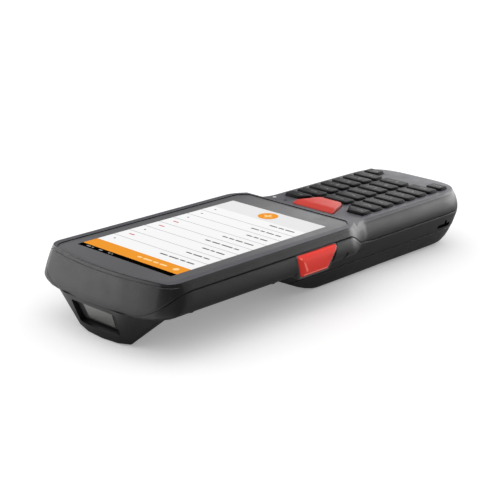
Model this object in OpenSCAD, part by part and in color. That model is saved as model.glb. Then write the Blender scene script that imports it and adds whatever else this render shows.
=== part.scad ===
// Handheld barcode data terminal: a touch-screen head, a keypad grip, a scanning nose
// under the head, red scan triggers on both sides and a sliding battery cover.
// Millimetres. The origin is at the bottom centre of the whole body, +Z is up,
// +Y points to the scanning nose and +X to the user's right.

/* [Body] */
// Height of the screen rim above the surface the terminal rests on
rim_z = 28.8; // [28.4:0.2:29.4]
// Half the width of the head at the screen rim
head_half_w = 33.9; // [33.5:0.1:34.5]
// Half the width of the grip at the keypad deck
grip_half_w = 25.4; // [25.2:0.1:26]
// Front end of the head at the screen rim
head_front_y = 98; // [98:0.5:100]
// Rear end of the tail at the keypad deck
tail_y = -98.7; // [-99.5:0.1:-98]
// Where the head starts to narrow into the neck
neck_front_y = -4; // [-6:1:-2]
// Where the neck has reached the width of the grip
neck_rear_y = -26; // [-28:1:-24]
// Height of the keypad deck
deck_z = 26.1; // [25.9:0.1:26.3]
// Rear end of the raised head, where it steps down to the keypad deck
head_rear_y = -13.5; // [-14:0.5:-12]
// Wall thickness of the two housings
wall = 2; // [1.8:0.1:2.2]

/* [Joints between the housings] */
// Height of the parting line along the head
head_parting_z = 25.2; // [25:0.1:25.4]
// Height of the parting line along the grip
grip_parting_z = 16.7; // [16.5:0.1:17]
// Height of the crease under the front face
crease_z = 15.4; // [15.2:0.1:15.8]
// Height of the flat seam between rear housing and battery cover
cover_seam_z = 9.2; // [9:0.1:9.6]
// Height of the flat underside of the head
head_bottom_z = 13.5; // [13.3:0.1:13.7]

/* [Screen] */
// Width of the display's picture area (4.0 inch, 5:3)
screen_w = 51.84; // [50:0.1:53]
// Length of the display's picture area
screen_len = 86.4; // [84:0.1:88]
// Centre of the screen along Y
screen_y = 43; // [42:0.5:44]
// Half the width of the touch panel with its border
panel_half_w = 31; // [30.5:0.1:31.2]
// Top face of the touch panel
panel_z = 28.5; // [28.2:0.1:28.6]

/* [Keypad] */
// Distance between key columns
key_pitch_x = 15.35; // [15:0.05:15.6]
// Distance between key rows
key_pitch_y = 8; // [7.8:0.1:8.1]
// Width of a key
key_w = 13.3; // [12.8:0.1:13.4]
// Length of a key, along the grip
key_len = 6.2; // [5.8:0.1:6.3]
// Front edge of the first key row
key_first_y = -29; // [-29.5:0.1:-28.5]
// Height of the key tops above the deck
key_rise = 1.4; // [1:0.1:1.8]
// Travel of a key and of the scan key
key_travel = 0.8; // [0.5:0.1:0.8]
// Gap between a key and the edge of its hole
key_gap = 0.3; // [0.2:0.05:0.35]

/* [Triggers] */
// Outer face of the side trigger
trigger_x = 37.9; // [37.7:0.1:38.2]
// Outer face of the frame around the trigger
bezel_x = 37.3; // [37.1:0.1:37.5]
// Travel of a side trigger
trigger_travel = 1.2; // [0.8:0.1:1.3]

/* [Battery] */
// Width of the battery pack
battery_w = 40; // [36:1:42]
// Length of the battery pack
battery_len = 68; // [60:1:68]
// Wall of the battery cover
cover_wall = 1.8; // [1.6:0.1:2]

/* [Scanner] */
// Backward lean of the scanning face
nose_lean = 22.6; // [22:0.1:23]
// Width of the scan window
window_w = 22; // [20:0.5:22]
// Height of the scan window
window_h = 8.6; // [8:0.1:9]

/* [Hidden] */
KEY_COUNT = 22;
key_names = [for (i = [1:KEY_COUNT]) str("key_", i)];
$fn = 32;
far = 200;

// Plastic and metal colours
c_shell = [0.22, 0.22, 0.23];
c_deck = [0.37, 0.37, 0.40];
c_key = [0.25, 0.25, 0.26];
c_red = [0.85, 0.26, 0.23];
c_board = [0.10, 0.35, 0.22];
c_metal = [0.75, 0.76, 0.78];

// Levels inside the body
deck_thick = 1.6;
floor_z = head_bottom_z + wall;
deck_under_z = deck_z - deck_thick;
panel_thick = 1.2;
ledge_z = panel_z - panel_thick;
board_z = 20.1;
board_thick = 1.2;
mat_thick = 1.0;
mat_z = board_z + board_thick;

// Outward lean of the walls: [height, distance outside the top edge's outline]
head_side_profile = [[0, 3], [20, 3], [22, 2.7], [25, 1.8], [27.5, 0.7], [rim_z, 0]];
head_front_profile = [[0, 4], [16, 3.9], [20, 3.1], [24, 1.9], [27, 0.8], [rim_z, 0]];
grip_profile = [[0, -6.5], [1, -4.3], [3, -2.3], [5.5, -0.7], [9.2, 0.8], [12.5, 1.6],
                [17, 2.5], [19, 2.4], [21.5, 1.9], [24, 1.1], [deck_z, 0], [rim_z, -1.7]];

function mix(a, b, t) = a + (b - a) * t;
function smooth(t) = let (c = max(0, min(1, t))) c * c * (3 - 2 * c);

// One quarter of a rounded-square curve (a superellipse) with half axes a and b
function quarter(a, b, power, steps, y0, dir) =
    [for (i = [0:steps]) let (t = 90 * i / steps)
        [a * pow(sin(t), 2 / power), y0 + dir * b * pow(cos(t), 2 / power)]];

// Bowed front edge with a rounded corner that ends straight along the side
front_bow = 0.004;
function bowed_front(half_w, front, radius, steps) =
    let (turn = atan(2 * front_bow * (half_w - 0.8 * radius)),
         start_x = half_w - radius + radius * sin(turn),
         centre_y = front - front_bow * start_x * start_x - radius * cos(turn))
    concat([for (i = [0:3]) let (x = start_x * i / 4) [x, front - front_bow * x * x]],
           [for (i = [0:steps]) let (a = mix(turn, 90, i / steps))
               [half_w - radius + radius * sin(a), centre_y + radius * cos(a)]]);

// Right half of an outline, from the front centre to the tail centre
function reversed(list) = [for (i = [len(list) - 1:-1:0]) list[i]];
neck_steps = 8;
tail_half = reversed(quarter(grip_half_w, -tail_y - 75, 4, 12, -75, -1));
body_half = concat(
    bowed_front(head_half_w, head_front_y, 6.5, 6),
    [for (i = [0:neck_steps]) let (t = i / neck_steps)
        [mix(head_half_w, grip_half_w, smooth(t)), mix(neck_front_y, neck_rear_y, t)]],
    tail_half);
belly_half = concat(quarter(grip_half_w, 31, 5, 10, 0, 1), tail_half);

// Outward direction at each point of a right half outline
function normal(path, i) =
    i == 0 ? [0, 1] : i == len(path) - 1 ? [0, -1] :
    let (d = path[i + 1] - path[i - 1]) [-d.y, d.x] / norm(d);
normals_body = [for (i = [0:len(body_half) - 1]) normal(body_half, i)];
normals_belly = [for (i = [0:len(belly_half) - 1]) normal(belly_half, i)];

// How far the wall stands outside the outline at point p and height z
tail_flare = 0.32;
function head_share(y) = smooth((y - neck_rear_y) / (neck_front_y - neck_rear_y));
function front_share(y) = smooth((y - 80) / 14);
function grip_lean(p, z) =
    let (o = lookup(z, grip_profile))
    o * (o > 0 ? 1 + tail_flare * smooth((-85 - p.y) / 10) : 1);
function lean(p, z) =
    let (head = mix(lookup(z, head_side_profile), lookup(z, head_front_profile),
                    front_share(p.y)))
    mix(grip_lean(p, z), head, head_share(p.y));

// A closed ring at height z: right half, then the mirrored left half
function ring(half, normals, z, inset, belly) =
    let (right = [for (i = [0:len(half) - 1])
            let (o = (belly ? grip_lean(half[i], z) : lean(half[i], z)) - inset)
            [half[i].x + normals[i].x * o, half[i].y + normals[i].y * o, z]])
    concat(right, [for (i = [len(right) - 2:-1:1]) [-right[i].x, right[i].y, z]]);

// Solid through a stack of rings with the same number of points
module loft(rings) {
    n = len(rings[0]);
    m = n / 2;
    top = (len(rings) - 1) * n;
    function left(i) = (n - i) % n;
    sides = [for (k = [0:len(rings) - 2], i = [0:n - 1])
        let (j = (i + 1) % n, a = k * n + i, b = k * n + j, c = (k + 1) * n + j,
             d = (k + 1) * n + i)
        each [[a, b, c], [a, c, d]]];
    caps = [for (i = [0:m - 1])
        let (quad = i == 0 ? [0, 1, left(1)] : i == m - 1 ? [i, m, left(i)] :
                    [i, i + 1, left(i + 1), left(i)])
        each [[for (v = quad) v + top], reversed(quad)]];
    polyhedron(points = [for (r = rings) each r], faces = concat(sides, caps));
}

// The head and grip between the given heights, shrunk inwards by inset
module body_loft(levels, inset = 0) {
    loft([for (z = levels) ring(body_half, normals_body, z, inset, false)]);
}

// The grip's lower half with the battery bulge
module belly_loft(levels, inset = 0) {
    loft([for (z = levels) ring(belly_half, normals_belly, z, inset, true)]);
}

// A side view outline [y, z], swept across the width
module side_prism(points, half_w = far) {
    rotate([90, 0, 90]) linear_extrude(2 * half_w, center = true) polygon(points);
}

// Belly seen from the side: flat underneath, with a ramp up to the head
ramp = [[-far, 0], [-14, 0], [-7, 0.5], [0, 2], [29, 13.5], [29, far], [-far, far]];

// Everything above the parting surface between the front and rear housings.
// Round the front corners the surface drops with the distance y - |x|.
module above_parting() {
    side_prism([[-far, far], [-far, grip_parting_z], [-27, grip_parting_z + 0.2],
                [-22, 17.8], [-16, 19.6], [-11.5, 21.7], [-7.5, 24.2],
                [-5.5, head_parting_z], [far, head_parting_z], [far, far]]);
    diag = sqrt(0.5);
    for (side = [0, 1]) mirror([side, 0, 0]) intersection() {
        rotate([0, 0, 45])
            side_prism([[50 * diag, head_parting_z + 1], [50 * diag, head_parting_z],
                        [56 * diag, 24.1], [63 * diag, 21.3], [70 * diag, 18],
                        [78 * diag, crease_z + 0.4], [86 * diag, crease_z],
                        [far, crease_z], [far, head_parting_z + 1]]);
        translate([0, -far / 2, 0]) cube([far, far, far]);
    }
}

// Sloping edges under the head, taken away from its sides and its front
module underside_slopes() {
    slope_side = [[24.5, head_bottom_z], [28.5, 14.5], [33.5, 16.3], [35.6, 17.3],
                  [36.9, 18.8], [45, 19], [45, 0], [24.5, 0]];
    for (side = [0, 1]) mirror([side, 0, 0])
        translate([0, 110, 0]) rotate([90, 0, 0])
            linear_extrude(110 - neck_rear_y - 4) polygon(slope_side);
    for (turn = [-45, 45])
        rotate([0, 0, turn])
            side_prism([[82, head_bottom_z], [88, 14.6], [92.2, 17.2], [97, 17.2],
                        [97, 10], [82, 10]], 40);
    side_prism([[97, head_bottom_z], [102, crease_z], [105, crease_z], [105, 10], [97, 10]]);
}

// Rounded rectangle, centred
module slab(w, l, h, r) {
    linear_extrude(h) {
        square([w - 2 * r, l], center = true);
        square([w, l - 2 * r], center = true);
        for (x = [-1, 1], y = [-1, 1])
            translate([x * (w / 2 - r), y * (l / 2 - r)]) circle(r);
    }
}

// Polygon outline of the touch panel, grown by extra
module panel_outline(extra = 0) {
    half_w = panel_half_w + extra;
    right = concat(bowed_front(half_w, 97.5 + extra, 6, 6),
                   [[half_w, -8], [half_w - 4, -12 - extra]]);
    polygon(concat(right, reversed([for (p = right) [-p.x, p.y]])));
}

// Keys: each entry is [centre x, centre y, width, slant of the inner end]
small_key_w = 8;
row1_key_w = 10.2;
row1_slant = 2;
function row_y(row) = key_first_y - key_len / 2 - row * key_pitch_y;
side_key_list = [for (side = [-1, 1]) each concat(
    [[side * (key_pitch_x + (key_w - row1_key_w) / 2), row_y(0), row1_key_w, side]],
    [for (row = [1:6]) [side * key_pitch_x, row_y(row), key_w, 0]],
    [[side * (key_pitch_x + (key_w - small_key_w) / 2), row_y(7), small_key_w, 0]])];
centre_key_list = [for (row = [1:6]) [0, row_y(row), key_w, 0]];
key_list = concat(side_key_list, centre_key_list);

// Plan outline of one key, grown by extra on every side
module key_outline(k, extra = 0) {
    w = k[2] / 2 + extra;
    l = key_len / 2 + extra;
    c = 0.8 + extra / 2;
    slant = k[3] == 0 ? 0 : row1_slant;
    function inner(y) = slant * y / l - w;
    mirror([k[3] < 0 ? 1 : 0, 0])
        polygon([[inner(l) + c, l], [w - c, l], [w, l - c], [w, c - l], [w - c, -l],
                 [inner(-l) + c, -l], [inner(c - l), c - l], [inner(l - c), l - c]]);
}

// Plan outline of the red scan key, grown by extra
module scan_key_outline(extra = 0) {
    front = -22;
    rear = -35;
    corner = 1.2;
    half = [[0, front + extra], [11.2 - corner + extra, front + extra],
            [11.2 + extra, front - corner], [6.9 + extra, rear + corner],
            [6.9 - corner + extra, rear - extra], [0, rear - extra]];
    polygon(concat(half, [for (i = [len(half) - 2:-1:1]) [-half[i].x, half[i].y]]));
}

// Side view of the trigger, grown by extra: a trapezoid, longer at the top
trigger_top_z = 24.9;
trigger_low_z = 16.9;
module trigger_outline(extra = 0) {
    s = extra * 1.3;
    polygon([[30.6 + s, trigger_top_z + extra], [27.5 + s, trigger_low_z - extra],
             [13.2 - s, trigger_low_z - extra], [7.3 - s, trigger_top_z + extra]]);
}

// The trigger's outline swept from x1 out to x2, on the +X side
module trigger_prism(x1, x2, extra = 0) {
    translate([x1, 0, 0]) rotate([90, 0, 90]) linear_extrude(x2 - x1) trigger_outline(extra);
}
trigger_frame = 0.95;
trigger_gap = 0.25;

// Puts its children in the frame of the scanning face: origin at the middle of the
// window, +Y out of the face
window_mid = [0, 99, 9];
module on_nose() {
    translate(window_mid) rotate([-nose_lean, 0, 0]) children();
}

// Rounded wedge under the head that carries the scanner
module nose_wedge() {
    r = 1;
    corners = [[16.2, 101, 17], [13.6, 94.8, 2], [27.5, 94.5, 14.4], [25, 86, 14],
               [10, 72, 14.4], [9, 89, 1.4], [8, 95.8, 1.2]];
    hull() {
        for (side = [-1, 1], c = corners)
            translate([side * c.x, c.y, c.z]) sphere(r, $fn = 12);
        translate([0, 96.3, r]) sphere(r, $fn = 12);
    }
}

// Screw places: head corners and tail
screw_places = [[30.8, 82], [30.8, 38], [14, -94.2]];
boss_low_z = 18.8;
screw_seat_z = [16.3, 16.3, head_bottom_z];
board_screw_places = [[24, 82], [24, 2]];
module both_sides(places) {
    for (side = [-1, 1], p = places) translate([side * p.x, p.y, 0]) children();
}

// ---- Housings ----

module front_housing() color(c_deck) difference() {
    union() {
        difference() {
            intersection() {
                body_loft([14, 17, 20, 22.5, 25, 27, rim_z]);
                above_parting();
            }
            body_loft([13, 17, 20, 22.5, deck_under_z], wall);
            translate([0, screen_y, deck_under_z - 1]) slab(62, 100, 26 - deck_under_z + 1, 4);
        }
        both_sides([screw_places[0], screw_places[1]])
            translate([0, 0, boss_low_z]) cylinder(r = 2.2, h = 26.2 - boss_low_z);
        both_sides([screw_places[2]])
            translate([0, 0, floor_z + 0.1]) cylinder(r = 2.2, h = deck_under_z - floor_z);
    }
    side_prism([[-far, deck_z], [head_rear_y - 1.6, deck_z], [head_rear_y, rim_z + 1],
                [-far, rim_z + 1]]);
    translate([0, 0, ledge_z]) linear_extrude(5) panel_outline(0.1);
    translate([0, screen_y - 1, 20]) slab(57, 97, 10, 1);
    for (k = key_list)
        translate([k.x, k.y, 20]) linear_extrude(10) key_outline(k, key_gap);
    translate([0, 0, 20]) linear_extrude(10) scan_key_outline(key_gap);
    for (p = [scan_led_place, charge_led_place])
        translate([p.x, p.y, 20]) cylinder(r = led_r, h = 10);
    both_sides(screw_places) translate([0, 0, 12]) cylinder(r = 1, h = 11);
    translate([0, -100, usb_z]) cube([usb_w + 0.3, 8, usb_h + 0.3], center = true);
}

module rear_housing() color(c_shell) difference() {
    union() {
        difference() {
            union() {
                difference() {
                    body_loft([head_bottom_z, 17, 20, 22.5, 26]);
                    underside_slopes();
                }
                nose_wedge();
            }
            above_parting();
            difference() {
                body_loft([floor_z, 20, 22.5, 27], wall);
                translate([0, 0, wall]) underside_slopes();
            }
        }
        difference() {
            intersection() {
                belly_loft([cover_seam_z, 11, head_bottom_z]);
                side_prism(ramp);
            }
            intersection() {
                belly_loft([8, 9.2, 11, head_bottom_z], wall);
                translate([0, 0, wall]) side_prism(ramp);
            }
        }
    }
    on_nose() {
        translate([0, -window_depth / 2, 0])
            cube([window_w + 1.4, window_depth + 4, window_h + 1], center = true);
        translate([0, -8, 1]) cube([window_w + 1.4, 10.4, 11], center = true);
    }
    translate([-window_w / 2 - 0.7, 84, 10]) cube([window_w + 1.4, 14, 6]);
    for (side = [-1, 1]) mirror([side + 1, 0, 0]) {
        trigger_prism(30, 41, trigger_gap + trigger_frame);
        strap_slot();
    }
    both_sides(screw_places) cylinder(r = 1.15, h = 20);
    both_sides([screw_places[0], screw_places[1]])
        translate([0, 0, 10]) cylinder(r = 2.1, h = 6.3);
    speaker_holes();
    translate([camera_place.x, camera_place.y, 10]) cylinder(r = 4.8, h = 4.7);
    translate([camera_place.x, camera_place.y, 10]) cylinder(r = 3.6, h = 8);
}

// Slot with an upright bar for a wrist strap, in the +X wall near the tail
module strap_slot() {
    translate([23, -88.2, 10.4]) cube([8, 10, 1.8]);
    translate([23, -84.8, 10.4]) cube([8, 1.4, 3.2]);
}

speaker_place = [-14, 34];
module speaker_holes() {
    for (i = [-2:2], j = [-2:2])
        if (abs(i) + abs(j) < 4)
            translate([speaker_place.x + i * 2.2, speaker_place.y + j * 2.2, 12])
                cylinder(r = 0.6, h = 5);
}

// ---- Screen ----

module touch_panel() color([0.30, 0.30, 0.32])
    translate([0, 0, ledge_z]) linear_extrude(panel_thick) panel_outline();

display_thick = 2.4;
module display_module() color([0.92, 0.92, 0.92])
    translate([0, screen_y, ledge_z - display_thick])
        slab(screen_w + 4, screen_len + 6, display_thick, 0.8);

frame_thick = 1.2;
frame_top_z = ledge_z - display_thick;
module mid_frame() color(c_metal) difference() {
    translate([0, screen_y, frame_top_z - frame_thick]) slab(57, 96, frame_thick, 2);
    both_sides(board_screw_places) translate([0, 0, 20]) cylinder(r = 0.8, h = 6);
}

module display_flex() color([0.75, 0.50, 0.20]) {
    flex_y = -5.9;
    flex_low_z = board_z + board_thick;
    translate([-9, flex_y, flex_low_z]) cube([18, 0.3, 4.9]);
    translate([-9, flex_y, flex_low_z]) cube([18, 5.5, 0.3]);
    translate([-9, flex_y, flex_low_z + 4.6])
        cube([18, screen_y - screen_len / 2 - 3 - flex_y, 0.3]);
}

// ---- Electronics ----

module main_board() color(c_board) difference() {
    translate([0, screen_y - 1, board_z]) slab(54, 88, board_thick, 2);
    both_sides(board_screw_places) translate([0, 0, 18]) cylinder(r = 0.8, h = 6);
}

module rf_shield() color(c_metal)
    translate([0, 59, board_z - 2.2]) slab(34, 26, 2.2, 1);

module wifi_antenna() color([0.82, 0.67, 0.30])
    translate([-33, 50, 18.6]) cube([0.8, 22, 4]);

module speaker() color([0.15, 0.15, 0.16])
    translate([speaker_place.x, speaker_place.y, floor_z]) cylinder(r = 7.5, h = 3.4);

module vibration_motor() color(c_metal)
    translate([-20, 77, floor_z + 2.3]) rotate([0, 90, 0]) cylinder(r = 2.2, h = 11);

module microphone() color(c_metal)
    translate([8, -96, mat_z - 3]) cylinder(r = 1.8, h = 1.4);

camera_place = [14, 38];
module camera_module() color([0.12, 0.12, 0.13])
    translate([camera_place.x, camera_place.y, floor_z]) {
        translate([0, 0, 0.1]) slab(8.5, 8.5, 3.6, 0.8);
    }

module camera_window() color([0.08, 0.08, 0.10])
    translate([camera_place.x, camera_place.y, 13.6]) cylinder(r = 4.7, h = 1.1);

module card_socket() color(c_metal)
    translate([-15, 20, board_z + board_thick]) slab(14, 15, 1.4, 0.6);

usb_w = 9.2;
usb_h = 3.2;
usb_z = 18.5;
module usb_connector() color(c_metal) difference() {
    translate([-usb_w / 2, -101.4, usb_z - usb_h / 2]) cube([usb_w, 9, usb_h]);
    translate([-usb_w / 2 + 0.3, -102, usb_z - usb_h / 2 + 0.3])
        cube([usb_w - 0.6, 7.6, usb_h - 0.6]);
}

// ---- Scanner ----

window_depth = 1.2;
window_thick = 1.2;
module scan_window() color([0.20, 0.21, 0.20, 0.6]) on_nose()
    translate([-window_w / 2, -window_depth - window_thick, -window_h / 2])
        cube([window_w, window_thick, window_h]);

engine_front = -window_depth - window_thick - 0.6;
module scan_engine() color([0.14, 0.14, 0.15]) on_nose() difference() {
    translate([-10, engine_front - 8, -4]) cube([20, 8, 8]);
    translate([-4, engine_front - 1, 0]) rotate([-90, 0, 0]) cylinder(r = 2.8, h = 2);
}

module scan_lens() color([0.35, 0.30, 0.50]) on_nose()
    translate([-4, engine_front - 1, 0]) rotate([-90, 0, 0]) cylinder(r = 2.7, h = 1.3);

// ---- Keypad ----

flange_z = mat_z + mat_thick + 0.2 + key_travel;
flange_top_z = deck_under_z - 0.1;
module keycap(k) color(c_key) translate([k.x, k.y, 0]) {
    top = deck_z + key_rise;
    translate([0, 0, flange_z]) linear_extrude(flange_top_z - flange_z) key_outline(k, 0.6);
    translate([0, 0, flange_z]) linear_extrude(top - 0.4 - flange_z) key_outline(k);
    translate([0, 0, flange_z]) linear_extrude(top - flange_z) key_outline(k, -0.45);
}

module scan_key() color(c_red) {
    top = deck_z + 1.5;
    translate([0, 0, flange_z]) linear_extrude(flange_top_z - flange_z)
        scan_key_outline(0.6);
    intersection() {
        translate([0, 0, flange_z]) linear_extrude(top - flange_z) scan_key_outline();
        side_prism([[-23.8, top], [-21, deck_z], [-21, 20], [-37, 20], [-37, top]]);
    }
}

module keypad_mat() color([0.30, 0.30, 0.31])
    translate([0, -55, mat_z]) slab(47, 71, mat_thick, 4);

module keypad_board() color(c_board)
    translate([0, -55, board_z]) slab(46, 71, board_thick, 4);

led_r = 0.9;
scan_led_place = [16.5, -23.5];
charge_led_place = [22.8, -23.5];
module led_lens(p) translate([p.x, p.y, deck_under_z - 0.5])
    cylinder(r = led_r - 0.05, h = deck_thick + 0.6);
module scan_led_lens() color([0.10, 0.10, 0.12]) led_lens(scan_led_place);
module charge_led_lens() color([0.85, 0.87, 0.85]) led_lens(charge_led_place);

// ---- Side triggers ----

switch_tip_x = 32.1;
trigger_root_x = switch_tip_x + 0.1 + trigger_travel;
module trigger() color(c_red) {
    trigger_prism(trigger_root_x, trigger_x - 0.6);
    trigger_prism(trigger_root_x, trigger_x, -0.6);
}
module trigger_right() trigger();
module trigger_left() mirror([1, 0, 0]) trigger();

bezel_root_x = 31.8;
module trigger_bezel() color(c_shell) difference() {
    trigger_prism(bezel_root_x, bezel_x, trigger_gap + trigger_frame);
    trigger_prism(bezel_root_x - 1, bezel_x + 1, trigger_gap);
    translate([bezel_root_x - 1, 0, head_parting_z - 0.1]) cube([10, 40, 5]);
}
module trigger_bezel_right() trigger_bezel();
module trigger_bezel_left() mirror([1, 0, 0]) trigger_bezel();

// Upright board with a tact switch behind a trigger
module trigger_switch() color(c_board) {
    translate([29.4, 13, 17.8]) cube([1, 12, 5.4]);
    translate([30.4, 17, 18.4]) cube([1.2, 4, 4]);
    translate([switch_tip_x - 0.5, 19, 20.4]) rotate([0, 90, 0]) cylinder(r = 0.8, h = 0.5);
}
module trigger_switch_right() trigger_switch();
module trigger_switch_left() mirror([1, 0, 0]) trigger_switch();

// ---- Battery ----

battery_low_z = 4;
battery_top_z = 13.2;
battery_front_y = -20;
module battery_pack() color([0.16, 0.17, 0.20])
    translate([0, battery_front_y - battery_len / 2, battery_low_z])
        slab(battery_w, battery_len, battery_top_z - battery_low_z, 2.5);

module battery_contacts() color([0.80, 0.66, 0.30]) {
    translate([-8, battery_front_y + 0.8, 9.6]) cube([16, 3.2, 3.6]);
    for (i = [-1.5:1.5])
        translate([i * 3.6, battery_front_y + 0.1, 11.4]) rotate([-90, 0, 0])
            cylinder(r = 0.6, h = 0.8);
}

cover_gap = 0.15;
latch_place = [0, -24];
latch_travel = 2.5;
module battery_cover() color(c_shell) difference() {
    intersection() {
        belly_loft([0, 1, 3, 5.5, cover_seam_z - cover_gap]);
        side_prism(ramp);
    }
    intersection() {
        belly_loft([0, 1, 3, 5.5, cover_seam_z + 1], cover_wall);
        translate([0, 0, cover_wall]) side_prism(ramp);
    }
    translate([latch_place.x - 8, latch_place.y - 3 - latch_travel, -1])
        cube([16, 6 + latch_travel, 4]);
}

module battery_latch() color(c_red) {
    y = latch_place.y;
    translate([-7.8, y - 2.8, 0.4]) cube([15.6, 5.6, 1.8]);
    translate([-9, y - 2.8, cover_wall + 0.1]) cube([18, 5.6, 1]);
    for (i = [-1:1]) translate([-6, y + i * 1.6 - 0.3, 0.1]) cube([12, 0.6, 1]);
}

// ---- Fasteners ----

module housing_screws() color(c_metal)
    for (i = [0:len(screw_places) - 1])
        both_sides([screw_places[i]])
            translate([0, 0, screw_seat_z[i]]) {
                translate([0, 0, -1]) cylinder(r = 1.9, h = 1);
                cylinder(r = 0.95, h = 6);
            }

module board_screws() color(c_metal)
    both_sides(board_screw_places) {
        translate([0, 0, board_z - 0.9]) cylinder(r = 1.5, h = 0.9);
        translate([0, 0, board_z]) cylinder(r = 0.75, h = 4.6);
    }

front_housing();
rear_housing();
touch_panel();
display_module();
display_flex();
mid_frame();
main_board();
rf_shield();
wifi_antenna();
scan_window();
scan_engine();
scan_lens();
keypad_mat();
keypad_board();
scan_key();
for (i = [0:KEY_COUNT - 1])
    keycap(key_list[i]);
trigger_left();
trigger_right();
trigger_bezel_left();
trigger_bezel_right();
trigger_switch_left();
trigger_switch_right();
battery_pack();
battery_contacts();
battery_cover();
battery_latch();
speaker();
vibration_motor();
microphone();
camera_module();
camera_window();
usb_connector();
card_socket();
scan_led_lens();
charge_led_lens();
housing_screws();
board_screws();
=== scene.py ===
"""Looks of the handheld barcode data terminal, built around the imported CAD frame.

Lengths in the shape functions are millimetres in the CAD's frame: +Z up, +Y to the
scanning nose, +X to the user's right. add_mesh() turns them into metres.
"""
import math

import bmesh
import bpy
import numpy as np
from mathutils import Matrix, Vector


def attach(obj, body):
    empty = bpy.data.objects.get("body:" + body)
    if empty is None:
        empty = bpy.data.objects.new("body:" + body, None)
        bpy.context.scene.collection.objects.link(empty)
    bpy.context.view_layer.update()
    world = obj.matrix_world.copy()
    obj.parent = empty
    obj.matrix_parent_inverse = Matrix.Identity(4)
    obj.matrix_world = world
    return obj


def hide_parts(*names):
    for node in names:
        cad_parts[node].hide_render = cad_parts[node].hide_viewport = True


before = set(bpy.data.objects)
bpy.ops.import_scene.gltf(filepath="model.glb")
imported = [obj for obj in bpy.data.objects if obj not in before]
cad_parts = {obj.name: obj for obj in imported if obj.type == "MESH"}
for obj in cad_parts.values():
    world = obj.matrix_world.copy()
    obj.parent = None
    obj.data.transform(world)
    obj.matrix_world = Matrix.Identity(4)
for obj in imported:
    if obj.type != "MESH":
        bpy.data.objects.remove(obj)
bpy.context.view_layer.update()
MM = 0.001


def add_object(name, data):
    """A new object in the scene."""
    obj = bpy.data.objects.new(name, data)
    bpy.context.scene.collection.objects.link(obj)
    return obj


# ---------------------------------------------------------------- camera
def main_camera():
    """Long lens in front of the nose, to its left and low over the floor; metres."""
    data = bpy.data.cameras.new("camera")
    data.sensor_width = 36.0
    data.lens = 94.88
    data.clip_start = 0.01
    data.clip_end = 50.0
    right = Vector((-0.73090, -0.68224, 0.01829))
    up = Vector((0.22760, -0.21839, 0.94894))
    turn = Matrix((right, up, right.cross(up))).transposed().to_4x4()
    camera = add_object("camera", data)
    camera.matrix_world = Matrix.Translation((-0.348229, 0.394224, 0.186641)) @ turn
    return camera


bpy.context.scene.camera = main_camera()

# ---------------------------------------------------------------- driving sizes
# Heights of the rim round the panel and of the keypad deck
RIM_Z, DECK_Z = 28.8, 26.1
# Half widths at the top edge, and how far the head and the grip reach
HEAD_HALF, GRIP_HALF = 33.9, 25.4
HEAD_FRONT, TAIL = 98.0, -98.7
TAIL_START = -75
# The neck narrows from front to rear; the head's raised rim ends inside it
NECK_FRONT, NECK_REAR, HEAD_REAR = -4.0, -26.0, -13.5
WALL = 2.0
# Parting line on the head's sides, along the grip and round the front
HEAD_PARTING, GRIP_PARTING, CREASE = 25.2, 16.7, 15.4
COVER_SEAM, HEAD_BOTTOM = 9.2, 13.5
PANEL_HALF, PANEL_Z, PANEL_THICK = 31.0, 28.5, 1.2
SCREEN_W, SCREEN_LEN, SCREEN_Y = 51.84, 86.4, 43.0
KEY_PITCH_X, KEY_PITCH_Y, KEY_W, KEY_LEN = 15.35, 8.0, 13.3, 6.2
KEY_FIRST_Y, KEY_TOP, FLANGE_Z, FLANGE_TOP = -29.0, 27.3, 23.3, 24.4
# Gap round keys, half of the gap between the shells, and a length past every surface
KEY_GAP, SEAM, FAR = 0.3, 0.12, 200.0
LAMPS_X, LAMPS_Y, LAMP_R = (16.5, 22.8), -23.5, 0.95
# Scanning face: its lean from upright and the middle of its window
NOSE_LEAN, WINDOW_MID = 22.6, (0.0, 99.0, 9.0)
# Widest height of the side wall and how fast the trigger's face falls away from it
WALL_WIDEST_Z, TRIGGER_BULGE = 19.3, 0.055


# ---------------------------------------------------------------- mesh helpers
def add_mesh(name, verts, faces):
    """A mesh object from points in millimetres."""
    mesh = bpy.data.meshes.new(name)
    mesh.from_pydata([(x * MM, y * MM, z * MM) for x, y, z in verts], [], faces)
    mesh.update()
    return add_object(name, mesh)


def cover(obj, *materials):
    """Gives a mesh these materials, the first one on every face."""
    obj.data.materials.clear()
    for mat in materials:
        obj.data.materials.append(mat)
    return obj


def delete(obj):
    """Removes an object together with its mesh."""
    mesh = obj.data
    bpy.data.objects.remove(obj)
    bpy.data.meshes.remove(mesh)


def boolean(obj, cutter, operation="DIFFERENCE"):
    """Applies an exact boolean to obj and removes the cutter."""
    mod = obj.modifiers.new("b", "BOOLEAN")
    mod.operation = operation
    mod.solver = "EXACT"
    mod.object = cutter
    bpy.context.view_layer.update()
    graph = bpy.context.evaluated_depsgraph_get()
    mesh = bpy.data.meshes.new_from_object(obj.evaluated_get(graph))
    obj.modifiers.clear()
    old = obj.data
    obj.data = mesh
    bpy.data.meshes.remove(old)
    delete(cutter)
    return obj


def weld(obj, distance=0.002):
    """Joins points that lie closer together than distance."""
    bm = bmesh.new()
    bm.from_mesh(obj.data)
    bmesh.ops.remove_doubles(bm, verts=bm.verts, dist=distance * MM)
    bm.to_mesh(obj.data)
    bm.free()
    return obj


def shade(obj, angle=35.0):
    """Smooth shading that keeps edges sharper than angle."""
    mesh = obj.data
    mesh.polygons.foreach_set("use_smooth", [True] * len(mesh.polygons))
    mesh.set_sharp_from_angle(angle=math.radians(angle))
    return obj


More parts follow.
